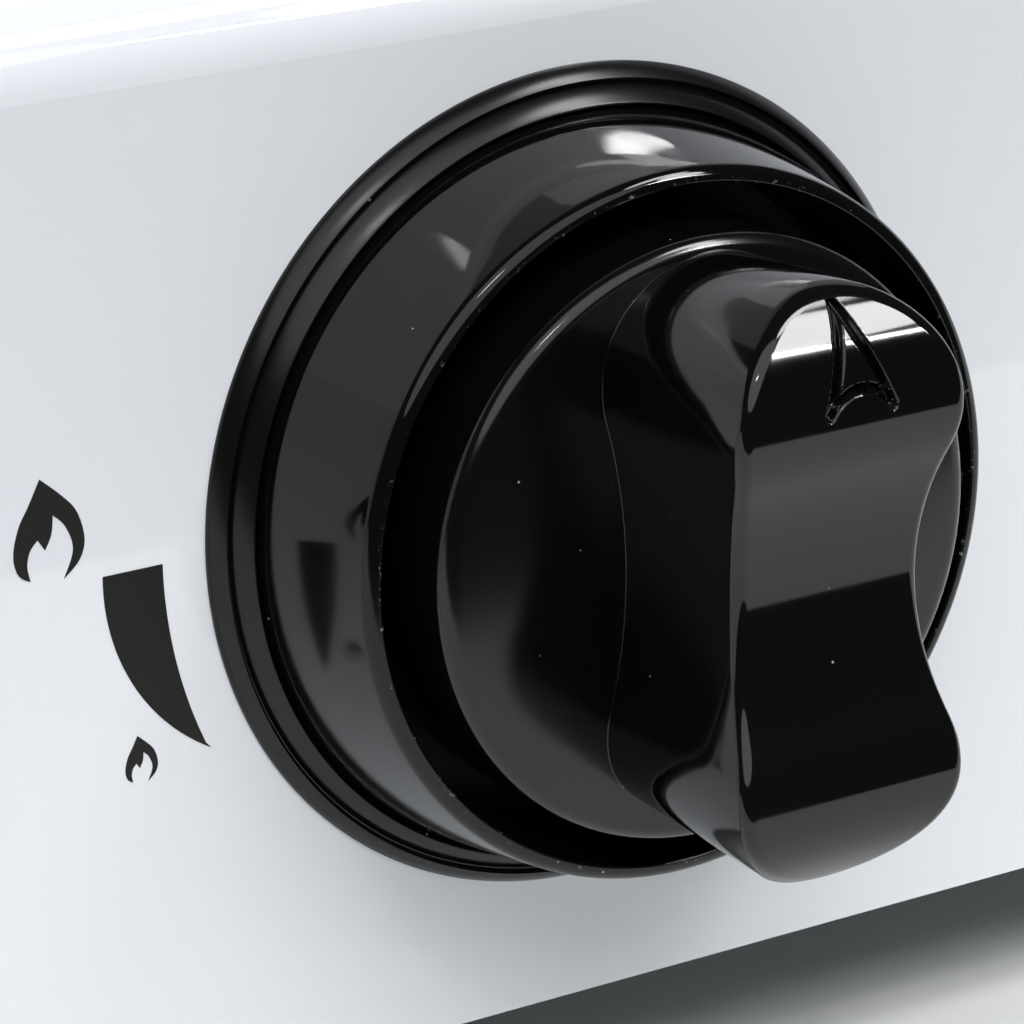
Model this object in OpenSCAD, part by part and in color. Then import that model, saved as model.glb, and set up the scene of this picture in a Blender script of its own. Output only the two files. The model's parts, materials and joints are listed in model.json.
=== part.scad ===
// Table-top gas hob with one burner: enamelled body, tap with knob, burner and pan support.
// Millimetres, +Z up, +Y towards the rear wall, origin at the middle of the footprint.

/* [Body] */
// Width of the enamelled body
body_w = 290; // [280:5:330]
// Depth of the enamelled body, front panel to rear wall
body_d = 300; // [290:5:340]
// Height of the front panel, lower edge to top plane
panel_h = 79; // [76:1:95]
// Radius of the upright corners
corner_r = 14; // [10:1:18]
// Bend radius along the top edges
edge_r = 6; // [4:0.5:8]
// Thickness of the sheet steel
sheet = 1; // [0.8:0.1:1.3]
// Width of the lip turned in near the lower edge
lip_w = 14; // [12:1:17]
// Height of the lip above the lower edge
lip_rise = 3; // [2.5:0.5:5]

/* [Dish] */
// Radius of the pressed dish at the top plane
dish_r = 108; // [105:1:114]
// Depth of the dish
dish_depth = 7; // [6:0.5:9]
// Bend radius at the rim and at the floor of the dish
dish_bend = 4; // [3:0.5:5]
// Slope of the dish wall in degrees
dish_slope = 60; // [50:5:70]
// Distance from the front panel to the middle of the burner
burner_back = 155; // [150:1:165]
// Radius of the hole that the burner stands in
burner_hole_r = 35; // [34:0.5:37]
// Height of the flanged collar round that hole
collar_h = 4; // [3:0.5:5]
// Bend radius at the foot of the collar
collar_bend = 2; // [1.5:0.25:2.5]

/* [Underside] */
// Height of the lower edge of the body above the table
foot_h = 12; // [9:1:18]
// Radius of a rubber foot where it meets the table
foot_r = 10; // [8:0.5:13]
// Distance of a foot from the outside of the body
foot_inset = 32; // [30:1:40]
// Radius of the neck of a foot
foot_neck_r = 4.5; // [3.5:0.25:6]
// Thickness of the base plate
plate_t = 1; // [0.8:0.1:1.5]
// Gap round the base plate inside the body
plate_gap = 0.5; // [0.3:0.1:1]
// Number of air slots in the base plate
slot_count = 18; // [12:2:20]
// Length of an air slot
slot_len = 30; // [20:1:34]
// Width of an air slot
slot_w = 5; // [3:0.5:6]

/* [Bezel] */
// Radius of the flange on the panel
bezel_r = 30; // [29:0.5:33]
// Height of the rim above the panel
bezel_h = 13.9; // [12:0.1:15]
// Outer radius of the rim
bezel_rim_r = 25.5; // [25:0.1:26]
// Width of the rim
bezel_rim_w = 1.2; // [1:0.1:1.8]
// Thickness of the floor of the well
bezel_floor = 2; // [1.6:0.2:2.6]
// Width of the outer bead
bead_outer_w = 0.9; // [0.7:0.1:1.1]
// Width of the inner bead
bead_inner_w = 1.8; // [1.4:0.1:2]

/* [Knob] */
// Radius of the disc
knob_r = 21.5; // [20:0.5:22.5]
// Distance from the panel to the front edge of the disc
disc_d = 17.2; // [15.5:0.1:18]
// Rise of the disc towards its middle
disc_dome = 0.3; // [0.2:0.1:1.4]
// Radius of the rounded edge of the disc
disc_edge_r = 1.1; // [0.8:0.1:2.2]
// Thickness of the moulded wall
knob_wall = 2.2; // [1.8:0.1:2.6]
// Distance from the panel to the back of the skirt
skirt_d = 6.6; // [6.4:0.1:8]
// Half width of the grip at its waist
grip_waist = 7.4; // [6.8:0.1:8]
// Radius of the round ends of the grip
grip_end_r = 9; // [8.6:0.1:9.6]
// Distance from the panel to the hollow of the saddle
saddle_d = 30.7; // [29.5:0.1:31.5]
// Distance from the panel to the crests of the saddle
crest_d = 33.9; // [33.2:0.1:35]
// Distance of the crests from the knob axis
crest_out = 13.5; // [12.5:0.5:14.5]
// Radius of the rounded crests
crest_r = 9.8; // [9:0.2:11]
// Radius of the rounded front edge of the grip
grip_edge_r = 0.8; // [0.5:0.1:1.2]
// Inset of the grip ends from the edge of the disc
grip_inset = 0.15; // [0.1:0.05:0.6]
// Radius of the hub
hub_r = 7.5; // [7:0.1:8]
// Depth of the engraved pointer
pointer_depth = 0.45; // [0.3:0.05:0.6]
// Width of the engraved line
pointer_line = 0.8; // [0.5:0.1:0.9]
// Length of the engraved pointer
pointer_len = 6.6; // [6:0.1:8.5]
// Width of the engraved pointer at its foot
pointer_w = 5; // [4:0.5:7]

/* [Tap] */
// Radius of the spindle
spindle_r = 4; // [3.5:0.1:4.4]
// Distance of the flat from the spindle axis
spindle_flat = 2.5; // [2.2:0.1:2.9]
// Push travel of the knob
push = 3.5; // [2:0.25:3.7]
// Turn of the knob from off to the smallest flame, in degrees
turn = 115; // [90:5:180]
// Thickness of the bonnet plate
bonnet_t = 3; // [2.5:0.25:4]
// Radius of the tap body
tap_r = 11; // [10:0.25:12]
// Distance between the two panel screws
panel_screw_pitch = 30; // [29:0.5:31]
// Large radius of the taper plug
plug_r = 7.6; // [7:0.1:8]
// Small radius of the taper plug
plug_tip_r = 5.4; // [5:0.1:6]
// Length of the taper plug
plug_len = 22; // [20:0.5:26]
// Radius of the gas way through the plug
gas_way_r = 2.5; // [2:0.1:2.8]
// Wire diameter of the return spring
spring_wire = 0.8; // [0.6:0.1:1]
// Turns of the return spring
spring_turns = 4; // [3:0.5:4.5]
// Length of the return spring at rest
spring_len = 8; // [7.5:0.25:10]

/* [Gas supply] */
// Outer radius of the supply pipe
pipe_r = 4; // [3.5:0.25:5]
// Wall of the supply pipe
pipe_wall = 1; // [0.7:0.1:1.2]
// Bend radius of the supply pipe
pipe_bend = 24; // [18:1:32]
// Distance of the gas inlet from the middle of the rear wall
inlet_x = 88; // [75:1:100]
// Thread radius of the pipe fittings
thread_r = 7.5; // [7.2:0.1:8]
// Width across flats of the pipe nuts
pipe_nut_af = 19; // [18.5:0.5:22]
// Width across flats of the inlet nozzle and its lock-nut
inlet_af = 22; // [21:0.5:26]
// Radius of the lands of the hose tail
tail_r = 4.6; // [4.2:0.1:5]
// Length of the hose tail
tail_len = 26; // [22:1:34]
// Number of lands on the hose tail
tail_lands = 4; // [3:1:5]

/* [Burner] */
// Gap between the burner cup and the collar
cup_gap = 2; // [1.5:0.25:3]
// Wall of the burner cup
cup_wall = 2.5; // [2:0.25:3.5]
// Bore radius of the mixing tube
tube_bore_r = 8.5; // [7:0.25:9.5]
// Wall of the mixing tube
tube_wall = 2.5; // [2:0.25:3]
// Spread of the bell mouth of the mixing tube
mouth_flare = 5; // [3:0.5:6]
// Radius of the burner crown at its foot
crown_r = 38; // [37:0.5:40]
// Height of the burner crown above its seat
crown_h = 14; // [12:0.5:17]
// Wall of the burner crown at its foot
crown_wall = 8; // [7:0.5:9]
// Number of flame ports
port_count = 32; // [20:1:40]
// Width of a flame port
port_w = 1.8; // [1.2:0.1:2.4]
// Height of a flame port
port_h = 6; // [4:0.5:7]
// Thickness of the cap at its edge
cap_t = 3; // [2:0.25:5]
// Rise of the cap towards its middle
cap_dome = 2.5; // [1:0.25:4]

/* [Pan support] */
// Height of the pan support above the top plane
pan_rise = 30; // [28:1:38]
// Gap between the burner crown and the finger tips
tip_gap = 4; // [3:0.5:8]
// Thickness of a finger
finger_t = 4.5; // [3.5:0.25:6]
// Width of the upright part of a finger
leg_w = 9; // [9:0.5:10]
// Depth of a finger at its tip
tip_h = 8; // [6:0.5:9]
// Gap between the legs and the foot of the dish wall
leg_gap = 2; // [1:0.5:4]
// Radius of the ring's wire
wire_r = 3; // [2.5:0.25:3.5]
// Height of the ring above the floor of the dish
ring_rise = 13; // [10:0.5:16]
// Number of fingers
finger_count = 4; // [3:1:6]

/* [Fits] */
// Radial clearance of a part that turns in another
run_gap = 0.05; // [0.03:0.01:0.09]
// Radial clearance of a part that lifts out of another
lift_gap = 0.3; // [0.25:0.05:0.5]
// Clearance of a part that is pressed or screwed into another
seat_gap = 0.03; // [0.02:0.01:0.06]
// Radial clearance of a screw hole
hole_gap = 0.25; // [0.15:0.05:0.4]
// Clearance round the stop of the tap
stop_gap = 0.3; // [0.2:0.05:0.5]
// Radius of the larger screws
screw_r = 2; // [1.75:0.05:2.2]
// Radius of the smaller screws
small_screw_r = 1.5; // [1.25:0.05:1.7]

/* [Hidden] */
$fn = 64;
// Facets of the large round shapes
fine = 128;
// How far a cut runs past the face that it opens
over = 1;

// Heights
top_z = foot_h + panel_h;
knob_z = foot_h + panel_h / 2;
floor_z = top_z - dish_depth;
plate_z = foot_h + lip_rise - plate_t;

// Inlet nozzle, measured out from the rear wall
washer_t = 1;
washer_lap = 2;
inlet_hex_h = 7;
locknut_h = 6;
stem_len = 24;
tail_step = 0.6;
tail_wall = 2;
inlet_reach = washer_t + inlet_hex_h + tail_len;

// The front panel stands where the whole object, knob to hose tail, is centred on the origin
front_y = (crest_d - body_d - inlet_reach) / 2;
rear_y = front_y + body_d;
mid_y = front_y + body_d / 2;
burner_y = front_y + burner_back;

// Dish
slope_len = (dish_depth - 2 * dish_bend * (1 - cos(dish_slope))) / sin(dish_slope);
dish_floor_r = dish_r - 2 * dish_bend * sin(dish_slope) - slope_len * cos(dish_slope);
lip_corner_r = 4;

// Screws: head and recess as multiples of the shank radius
head_spread = 1.9;
head_rise = 1.2;
head_round = 0.7;
recess_w = 0.4;
recess_floor = 0.6;
small_recess = 0.8;
small_head_r = head_spread * small_screw_r;
screw_hole_r = screw_r + hole_gap;
tap_drill_r = screw_r + seat_gap;
base_screw_inset = sheet + lip_w / 2;
base_screw_end = 60;
base_screw_len = 7;

// Feet and base plate
foot_edge = 0.8;
foot_spread = 2;
foot_hollow_r = 5;
foot_hollow_h = 2;
barb_w = 1.6;
barb_land = 1;
barb_h = 4;
barb_taper = 1;
slot_start = 6;

// Bezel
bead_outer_d = 0.55;
bead_trim = 15;
well_r = bezel_rim_r - bezel_rim_w;
well_draft = 0.4;
rim_round = 0.55;
spindle_hole_gap = 1.5;
spindle_hole_r = hub_r + spindle_hole_gap;

// Knob
roof_d = disc_d - knob_wall;
skirt_in_r = knob_r - knob_wall;
hub_reach = 1.6;
hub_root = 2;
hub_d = skirt_d - hub_reach;
rib_t = 1.6;
rib_h = 4;
rib_root = 0.5;
rib_d = roof_d - rib_h;
spindle_roof = 1.4;
spindle_end_d = disc_d - spindle_roof;
clip_t = 0.8;
clip_w = 4.6;
clip_short = 1.2;
clip_len = spindle_end_d - hub_d - clip_short;
clip_play = 0.2;
clip_edge = 0.5;
clip_foot = hub_r - spindle_flat - clip_edge;
pointer_inset = 1.2;
pointer_notch = 1.5;

// Grip: end circles and waist circle meet on a common tangent
grip_half = knob_r - grip_inset;
grip_end_c = grip_half - grip_end_r;
waist_r = (pow(grip_end_c, 2) + pow(grip_waist, 2) - pow(grip_end_r, 2)) / (2 * (grip_end_r - grip_waist));
waist_a = atan(grip_end_c / (grip_waist + waist_r));
// Saddle: crest circles and hollow circle meet on a common tangent
crest_c = crest_d - crest_r;
hollow_r = (pow(crest_out, 2) + pow(saddle_d - crest_c, 2) - pow(crest_r, 2)) / (2 * (crest_d - saddle_d));
hollow_out = hollow_r * crest_out / (hollow_r + crest_r);
end_steps = 10;
waist_steps = 10;
edge_steps = 4;
saddle_steps = 24;
half_n = 2 * end_steps + waist_steps;
ring_n = 2 * half_n;

// Stop of the tap: a lug on the bonnet in a sector of the spindle's collar, also when pushed
stop_grip = 1;
collar_play = 0.3;
stop_len = collar_play + push + stop_grip;
stop_root = 1.5;
stop_in_r = spindle_r + stop_root;
stop_lug_a = 24;
stop_play_a = 2;
stop_at = -90;

// Tap, measured out from the panel, so places inside the body are negative
bonnet_d = -sheet;
tap_d = bonnet_d - bonnet_t;
bonnet_lug_w = 3.5;
tap_flange_w = 2;
tap_flange_r = tap_r + tap_flange_w;
tap_flange_t = 5;
collar_web = 1.2;
collar_t = stop_len + collar_web;
collar_d = tap_d - collar_play - collar_t;
collar_r = plug_r;
plug_d = collar_d - spring_len;
plug_end_d = plug_d - plug_len;
chamber_gap = 0.6;
chamber_r = collar_r + chamber_gap;
tang_t = 2.8;
tang_w = 8;
tang_grip = 2;
tang_play = 0.5;
slot_floor_d = plug_d - tang_grip - push - tang_play;
inlet_d = (plug_d + plug_end_d) / 2;
boss_reach = 9;
boss_len = tap_r + boss_reach;
outlet_len = 7;
tap_end_d = plug_end_d - outlet_len;
spring_inset = 2;
spring_r = plug_r - spring_inset;
spring_sides = 6;
spring_rings_per_turn = 16;

// Injector
jet_seat = 6;
jet_boss_r = 8;
jet_thread_r = 4;
jet_af = 9;
jet_hex_h = 4;
jet_nose = 4;
jet_root_r = 3.5;
jet_tip_r = 2;
jet_bore_r = 2;
jet_web = 1.5;
jet_hole_r = 0.5;
jet_end_d = tap_end_d - jet_seat - jet_hex_h - jet_nose;

// Pipe fittings
socket_len = 4;
nut_grip = 6;
nut_shoulder = 4;
olive_len = 4;
olive_lip = 0.8;
olive_land = 1;
olive_inset = 1;
olive_r = thread_r - olive_inset;
nut_len = nut_grip + olive_len + nut_shoulder;
pipe_y = front_y - inlet_d;

// Burner
cup_r = burner_hole_r - cup_gap;
cup_in_r = cup_r - cup_wall;
cup_floor_z = knob_z - tube_bore_r - tube_wall;
cup_rise = 1;
cup_top_z = floor_z + collar_h + cup_rise;
cup_round = 8;
mouth_r = tube_bore_r + mouth_flare;
mouth_len = 14;
mouth_lip = 2;
mouth_root = 3;
mouth_steps = 8;
jet_reach = 2;
mouth_y = front_y - jet_end_d - jet_reach;
tube_len = burner_y - mouth_y;
lug_out = 11;
lug_x = burner_hole_r + lug_out;
lug_r = 6;
lug_h = 12;
lug_step = 2;
lug_floor = 2;
burner_screw_len = 9;
spigot_h = 8;
spigot_r = cup_in_r - lift_gap;
spigot_wall = 3;
spigot_edge = 0.6;
crown_taper = 2;
crown_top_r = crown_r - crown_taper;
crown_foot_h = 4;
crown_edge = 0.8;
crown_step = 1;
crown_in_r = crown_r - crown_wall;
port_in = 2;
cap_lap = 1;
cap_r = crown_top_r + cap_lap;
cap_z = cup_top_z + crown_h;
cap_spigot_h = 4;
cap_spigot_r = crown_in_r - lift_gap;
cap_spigot_wall = 2;
cap_hollow = 1;
cap_chamfer = 0.5;
cap_edge_r = 1.5;
cap_edge_a = 80;
dome_steps = 6;

// Pan support
pan_z = top_z + pan_rise;
tip_r = crown_r + tip_gap;
tip_round = 2;
leg_out_r = dish_floor_r - leg_gap;
ring_r = leg_out_r - leg_w;
finger_round = 8;
arm_drop = 4;

function arc(c, r, a0, a1, n = 8) =
    [for (i = [0:n]) let (a = a0 + (a1 - a0) * i / n) [c[0] + r * cos(a), c[1] + r * sin(a)]];

// Shallow dome from near its edge to its middle, as points of a half section
function dome(r, z, rise) =
    [for (i = [dome_steps - 1:-1:0]) let (t = i / dome_steps) [r * t, z + rise * (1 - t * t)]];

// Local frame of the knob axis: z runs out of the panel, y upwards
module at_panel() {
    translate([0, front_y, knob_z]) rotate([90, 0, 0]) children();
}

// Local frame of the gas inlet: z runs out of the rear wall
module at_inlet() {
    translate([inlet_x, rear_y, knob_z]) rotate([-90, 0, 0]) children();
}

// Local frame of the mixing tube: z runs from its mouth to the burner
module at_mouth() {
    translate([0, mouth_y, knob_z]) rotate([-90, 0, 0]) children();
}

module at_burner() {
    translate([0, burner_y, 0]) children();
}

module at_body() {
    translate([0, mid_y, foot_h]) children();
}

// Rod along the local z axis between two places
module rod(r, z0, z1) {
    translate([0, 0, min(z0, z1)]) cylinder(r = r, h = abs(z1 - z0));
}

// Hexagonal bar along the local z axis between two places
module hex_bar(af, z0, z1) {
    translate([0, 0, min(z0, z1)]) cylinder(r = af / 2 / cos(30), h = abs(z1 - z0), $fn = 6);
}

// Part of a ring about the local z axis, between two radii, two places and two angles
module ring_sector(r0, r1, z0, z1, a0, a1) {
    translate([0, 0, min(z0, z1)]) rotate(a0) rotate_extrude(angle = a1 - a0)
        translate([r0, 0]) square([r1 - r0, abs(z1 - z0)]);
}

module rounded_rect(w, d, r) {
    square([w - 2 * r, d], center = true);
    square([w, d - 2 * r], center = true);
    for (sx = [-1, 1], sy = [-1, 1])
        translate([sx * (w / 2 - r), sy * (d / 2 - r)]) circle(r);
}

// Section through a wall of the soft box, out from the centre of a corner
module wall_section(rc, h, rt) {
    square([rc, h - rt]);
    square([rc - rt, h]);
    translate([rc - rt, h - rt]) intersection() {
        circle(rt);
        square(rt);
    }
}

// Box with round upright corners and round top edges
module soft_box(w, d, h, rc, rt) {
    x = w / 2 - rc;
    y = d / 2 - rc;
    translate([-x, -y, 0]) cube([2 * x, 2 * y, h]);
    for (m = [0, 1]) {
        mirror([0, m, 0]) translate([-x, y, 0]) rotate([90, 0, 90])
            linear_extrude(2 * x) wall_section(rc, h, rt);
        mirror([m, 0, 0]) translate([x, y, 0]) rotate([90, 0, 0])
            linear_extrude(2 * y) wall_section(rc, h, rt);
        for (k = [0, 1])
            mirror([m, 0, 0]) mirror([0, k, 0]) translate([x, y, 0]) rotate_extrude(angle = 90)
                wall_section(rc, h, rt);
    }
}

// Cross recess, cut upwards from z = 0
module cross_recess(r, w, h) {
    for (a = [0, 90]) rotate(a) translate([-r, -w / 2, 0]) cube([2 * r, w, h]);
}

// Pan-head screw with its seat at z = 0 and its shank below
module pan_screw(r, len) {
    head_r = head_spread * r;
    head_h = head_rise * r;
    edge = head_round * r;
    difference() {
        union() {
            rod(r, 0, -len);
            rotate_extrude() polygon(concat(
                [[0, 0], [head_r, 0]],
                arc([head_r - edge, head_h - edge], edge, 0, 90, 4),
                [[0, head_h]]));
        }
        translate([0, 0, recess_floor * r]) cross_recess(r, recess_w * r, head_h);
    }
}

// Section of the pressed dish, from its rim to the collar of the burner hole
function dish_upper() = concat(
    arc([dish_r, top_z - dish_bend], dish_bend, 90, 90 + dish_slope),
    arc([dish_floor_r, floor_z + dish_bend], dish_bend, dish_slope - 90, -90),
    arc([burner_hole_r + sheet + collar_bend, floor_z + collar_bend], collar_bend, -90, -180));

function dish_lower() = concat(
    arc([burner_hole_r + sheet + collar_bend, floor_z + collar_bend], collar_bend + sheet, -180, -90),
    arc([dish_floor_r, floor_z + dish_bend], dish_bend + sheet, -90, dish_slope - 90),
    arc([dish_r, top_z - dish_bend], dish_bend - sheet, 90 + dish_slope, 90));

module dish() {
    collar_z = floor_z + collar_h;
    rotate_extrude($fn = fine) polygon(concat(
        dish_upper(),
        [[burner_hole_r + sheet, collar_z], [burner_hole_r, collar_z]],
        dish_lower()));
}

module base_screw_places() {
    x = body_w / 2 - base_screw_inset;
    y = body_d / 2 - base_screw_inset;
    for (s = [-1, 1]) {
        for (e = [-1, 1])
            translate([s * x, mid_y + e * (body_d / 2 - base_screw_end), foot_h + lip_rise]) children();
        translate([0, mid_y + s * y, foot_h + lip_rise]) children();
    }
}

module foot_places() {
    for (sx = [-1, 1], sy = [-1, 1])
        translate([sx * (body_w / 2 - foot_inset), mid_y + sy * (body_d / 2 - foot_inset), 0]) children();
}

module panel_screw_places() {
    for (s = [-1, 1]) translate([s * panel_screw_pitch / 2, 0, 0]) children();
}

module bonnet_screw_places() {
    for (s = [-1, 1]) translate([0, s * (chamber_r + tap_flange_r) / 2, 0]) children();
}

module burner_screw_places() {
    for (s = [-1, 1]) translate([s * lug_x, 0, floor_z]) children();
}

module body_shell() color("whitesmoke") difference() {
    union() {
        difference() {
            at_body() soft_box(body_w, body_d, panel_h, corner_r, edge_r);
            at_body() translate([0, 0, -over]) soft_box(
                body_w - 2 * sheet, body_d - 2 * sheet, panel_h - sheet + over,
                corner_r - sheet, edge_r - sheet);
            at_burner() rod(dish_r, top_z - 2 * sheet, top_z + over, $fn = fine);
        }
        at_burner() dish();
        at_body() translate([0, 0, lip_rise]) linear_extrude(sheet) difference() {
            rounded_rect(body_w - sheet, body_d - sheet, corner_r - sheet / 2);
            rounded_rect(body_w - 2 * (sheet + lip_w), body_d - 2 * (sheet + lip_w), lip_corner_r);
        }
    }
    at_panel() {
        rod(spindle_hole_r, -2 * sheet, over);
        panel_screw_places() rod(screw_hole_r, -2 * sheet, over);
    }
    at_inlet() rod(thread_r + hole_gap, -2 * sheet, over);
    at_burner() burner_screw_places() rod(screw_hole_r, -2 * sheet, over);
    base_screw_places() rod(tap_drill_r, -over, 2 * sheet);
}

// Slot with round ends along the local x axis
module air_slot() {
    square([slot_len - slot_w, slot_w], center = true);
    for (s = [-1, 1]) translate([s * (slot_len - slot_w) / 2, 0]) circle(slot_w / 2);
}

module base_plate() color("gainsboro") difference() {
    margin = 2 * (sheet + plate_gap);
    translate([0, mid_y, plate_z]) linear_extrude(plate_t)
        rounded_rect(body_w - margin, body_d - margin, corner_r - margin / 2);
    base_screw_places() rod(screw_hole_r, -2 * plate_t, over);
    foot_places() rod(foot_neck_r + hole_gap, plate_z - over, plate_z + 2 * plate_t);
    at_burner() for (i = [0:slot_count - 1]) rotate((i + 0.5) * 360 / slot_count)
        translate([cup_r + slot_start + slot_len / 2, 0, plate_z - over])
            linear_extrude(plate_t + 2 * over) air_slot();
}

module base_screws() color("silver")
    base_screw_places() translate([0, 0, -plate_t]) mirror([0, 0, 1]) pan_screw(screw_r, base_screw_len);

// Foot with a hollow underneath, pushed through the base plate up to its barb
module rubber_feet() color("dimgray") {
    barb_z = plate_z + plate_t;
    foot_places() rotate_extrude() polygon([
        [foot_hollow_r, 0], [foot_r - foot_edge, 0], [foot_r, foot_edge],
        [foot_r + foot_spread, plate_z], [foot_neck_r, plate_z],
        [foot_neck_r, barb_z + seat_gap], [foot_neck_r + barb_w, barb_z + seat_gap],
        [foot_neck_r + barb_w, barb_z + barb_land], [foot_neck_r - barb_taper, barb_z + barb_h],
        [0, barb_z + barb_h], [0, foot_hollow_h], [foot_hollow_r, foot_hollow_h]]);
}

// Ring on the panel: two beads, a conical wall that leans in from the inner bead to the rim, and the well
module knob_bezel() color("black") at_panel() {
    outer_r = bead_outer_w / 2;
    inner_r = bead_inner_w / 2;
    outer_c = bezel_r - outer_r;
    inner_bead = arc([bezel_r - bead_outer_w - inner_r, inner_r], inner_r, bead_trim, 180 - bead_trim);
    wall_foot = inner_bead[len(inner_bead) - 1];
    wall_lean = atan2(wall_foot[0] - bezel_rim_r, bezel_h - rim_round - wall_foot[1]);
    difference() {
        rotate_extrude($fn = fine) polygon(concat(
            [[spindle_hole_r, 0], [bezel_r, 0]],
            arc([outer_c, bead_outer_d], outer_r, 0, 180 - 2 * bead_trim, 6),
            inner_bead,
            arc([bezel_rim_r - rim_round, bezel_h - rim_round], rim_round, wall_lean, 90, 4),
            arc([well_r + rim_round, bezel_h - rim_round], rim_round, 90, 180, 4),
            [[well_r - well_draft, bezel_floor], [spindle_hole_r, bezel_floor]]));
        panel_screw_places() rod(screw_hole_r, -over, bezel_floor + over);
    }
}

// Half outline of the grip seen from the front, from the lower tip to the upper tip
function grip_half_outline(inset) = concat(
    arc([0, -grip_end_c], grip_end_r - inset, -90, waist_a, end_steps),
    [for (i = [1:waist_steps - 1]) let (b = waist_a * (2 * i / waist_steps - 1))
        [grip_waist + waist_r - (waist_r + inset) * cos(b), (waist_r + inset) * sin(b)]],
    arc([0, grip_end_c], grip_end_r - inset, -waist_a, 90, end_steps));

function grip_outline(inset) = let (h = grip_half_outline(inset))
    concat(h, [for (i = [half_n - 1:-1:1]) [-h[i][0], h[i][1]]]);

// Distance of the saddle from the panel at a distance v from the knob axis
function saddle(v) = abs(v) < hollow_out
    ? saddle_d + hollow_r - sqrt(pow(hollow_r, 2) - pow(v, 2))
    : crest_c + sqrt(pow(crest_r, 2) - pow(abs(v) - crest_out, 2));

function grip_ring(inset, drop) = [for (p = grip_outline(inset)) [p[0], p[1], saddle(p[1]) - drop]];

// The grip is lofted from its waisted outline at the disc to the rounded edge of its saddle front
module grip() {
    rings = concat(
        [[for (p = grip_outline(0)) [p[0], p[1], roof_d]]],
        [for (k = [0:edge_steps]) let (a = 90 * k / edge_steps)
            grip_ring(grip_edge_r * (1 - cos(a)), grip_edge_r * (1 - sin(a)))]);
    levels = len(rings) - 1;
    function at(k, j) = k * ring_n + (j % ring_n);
    function strip(k, flip) = [for (i = [0:half_n - 1])
        let (q = [at(k, i), at(k, i + 1), at(k, ring_n - i - 1), at(k, ring_n - i)])
        each flip ? [[q[0], q[1], q[2]], [q[0], q[2], q[3]]] : [[q[2], q[1], q[0]], [q[3], q[2], q[0]]]];
    sides = [for (k = [0:levels - 1], j = [0:ring_n - 1])
        each [[at(k + 1, j), at(k, j + 1), at(k, j)], [at(k + 1, j), at(k + 1, j + 1), at(k, j + 1)]]];
    function whole(f) = f[0] != f[1] && f[1] != f[2] && f[2] != f[0];
    faces = [for (f = concat(strip(0, true), sides, strip(levels, false))) if (whole(f)) f];
    polyhedron(points = [for (r = rings) each r], faces = faces);
}

// Engraved arrowhead outline on the upper end of the grip
module pointer_lines() {
    apex = [0, grip_half - pointer_inset];
    foot_v = apex[1] - pointer_len;
    left = [-pointer_w / 2, foot_v];
    right = [pointer_w / 2, foot_v];
    corners = [left, apex, right, [0, foot_v + pointer_notch], left];
    for (i = [0:len(corners) - 2]) {
        a = corners[i];
        b = corners[i + 1];
        translate(a) rotate(atan2(b[1] - a[1], b[0] - a[0]))
            translate([-pointer_line / 2, -pointer_line / 2])
                square([norm(b - a) + pointer_line, pointer_line]);
    }
}

// Solid under the saddle, lowered by a depth, which limits how deep the engraving goes
module saddle_core(depth) {
    rotate([90, 0, 90]) translate([0, 0, -knob_r]) linear_extrude(2 * knob_r) polygon(concat(
        [[grip_half, 0], [0, 0]],
        [for (i = [0:saddle_steps]) let (v = grip_half * i / saddle_steps) [v, saddle(v) - depth]]));
}

module d_shape(r, flat) {
    difference() {
        circle(r);
        translate([-r, flat]) square(2 * r);
    }
}

// Domed disc with a rounded edge and a skirt behind it
module knob_disc() {
    rotate_extrude($fn = fine) polygon(concat(
        [[skirt_in_r, skirt_d], [knob_r, skirt_d]],
        arc([knob_r - disc_edge_r, disc_d - disc_edge_r], disc_edge_r, 0, 90, 6),
        dome(knob_r - disc_edge_r, disc_d, disc_dome),
        [[0, roof_d], [skirt_in_r, roof_d]]));
}

module control_knob() color("black") at_panel() difference() {
    union() {
        difference() {
            union() {
                knob_disc();
                grip();
            }
            translate([0, 0, roof_d - over])
                linear_extrude(saddle_d - knob_wall - roof_d + over) polygon(grip_outline(knob_wall));
        }
        rod(hub_r, hub_d, disc_d + hub_root);
        for (a = [45, 135]) rotate(a) translate([-skirt_in_r, -rib_t / 2, rib_d])
            cube([2 * skirt_in_r, rib_t, rib_h + rib_root]);
    }
    translate([0, 0, hub_d - over]) linear_extrude(spindle_end_d + seat_gap - hub_d + over)
        d_shape(spindle_r + seat_gap, spindle_flat + seat_gap);
    translate([-clip_w / 2 - seat_gap, spindle_flat, hub_d - over])
        cube([clip_w + 2 * seat_gap, clip_t + 2 * seat_gap, clip_len + clip_play + over]);
    difference() {
        translate([0, 0, roof_d]) linear_extrude(crest_d) pointer_lines();
        saddle_core(pointer_depth);
    }
}

module knob_clip() color("lightsteelblue") at_panel()
    translate([-clip_w / 2, spindle_flat + seat_gap, hub_d - clip_t]) {
        cube([clip_w, clip_t, clip_len + clip_t]);
        cube([clip_w, clip_foot, clip_t]);
    }

// Spindle with its flat, the collar with the sector of the stop, and the tang that turns the plug
module tap_spindle() color("silver") at_panel() {
    difference() {
        rod(spindle_r, collar_d, spindle_end_d);
        translate([-spindle_r, spindle_flat, hub_d - push]) cube([2 * spindle_r, spindle_r, spindle_end_d]);
    }
    difference() {
        rod(collar_r, collar_d, collar_d + collar_t);
        ring_sector(
            stop_in_r - stop_gap, collar_r + over, collar_d + collar_web, tap_d,
            stop_at - turn - stop_lug_a / 2 - stop_play_a, stop_at + stop_lug_a / 2 + stop_play_a);
    }
    translate([-tang_t / 2, -tang_w / 2, plug_d - tang_grip])
        cube([tang_t, tang_w, collar_d - plug_d + tang_grip]);
}

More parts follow.
